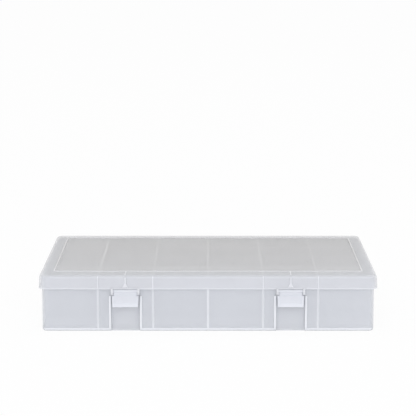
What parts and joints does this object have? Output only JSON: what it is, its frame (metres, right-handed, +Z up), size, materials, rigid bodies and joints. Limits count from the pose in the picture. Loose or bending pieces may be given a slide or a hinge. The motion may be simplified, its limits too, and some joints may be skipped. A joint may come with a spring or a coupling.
{
  "type": "compartment storage box",
  "caption": "Flat frosted plastic storage box with square compartments, lift-out cross dividers, a hinged lid and snap latches on the front.",
  "frame": {"origin": "centre of the overall box on the surface it stands on", "axes": "+X to the box's right as seen from the front, +Y to the back, +Z up; the latches face -Y"},
  "size_m": [0.275, 0.1917, 0.0472],
  "materials": {
    "tray_plastic": "frosted natural polypropylene, fine matt grain, lets light through",
    "lid_plastic": "frosted natural polypropylene, fine matt grain, lets light through",
    "latch_plastic": "natural polypropylene, slightly smoother than the box",
    "divider_plastic": "frosted natural polypropylene, fine matt grain, lets light through"
  },
  "bodies": {
    "base": {"base_tray": "tray_plastic", "divider_row1_column1": "divider_plastic", "divider_row1_column2": "divider_plastic", "divider_row1_column3": "divider_plastic", "divider_row1_column4": "divider_plastic", "divider_row1_column5": "divider_plastic", "divider_row1_column6": "divider_plastic", "divider_row2_column1": "divider_plastic", "divider_row2_column2": "divider_plastic", "divider_row2_column3": "divider_plastic", "divider_row2_column4": "divider_plastic", "divider_row2_column5": "divider_plastic", "divider_row2_column6": "divider_plastic", "divider_row3_column1": "divider_plastic", "divider_row3_column2": "divider_plastic", "divider_row3_column3": "divider_plastic", "divider_row3_column4": "divider_plastic", "divider_row3_column5": "divider_plastic", "divider_row3_column6": "divider_plastic"},
    "lid": {"lid": "lid_plastic"},
    "latch_left": {"latch_left": "latch_plastic"},
    "latch_right": {"latch_right": "latch_plastic"}
  },
  "joints": [
    {"name": "lid_hinge", "type": "hinge", "parent": "base", "child": "lid", "pos_m": [0, 0.09306, 0.0325], "axis": [-1, 0, 0], "range_deg": [0, 180]},
    {"name": "latch_left_hinge", "type": "hinge", "parent": "lid", "child": "latch_left", "pos_m": [-0.06705, -0.09289, 0.03345], "axis": [-1, 0, 0], "range_deg": [0, 90]},
    {"name": "latch_right_hinge", "type": "hinge", "parent": "lid", "child": "latch_right", "pos_m": [0.06705, -0.09289, 0.03345], "axis": [-1, 0, 0], "range_deg": [0, 90]}
  ]
}
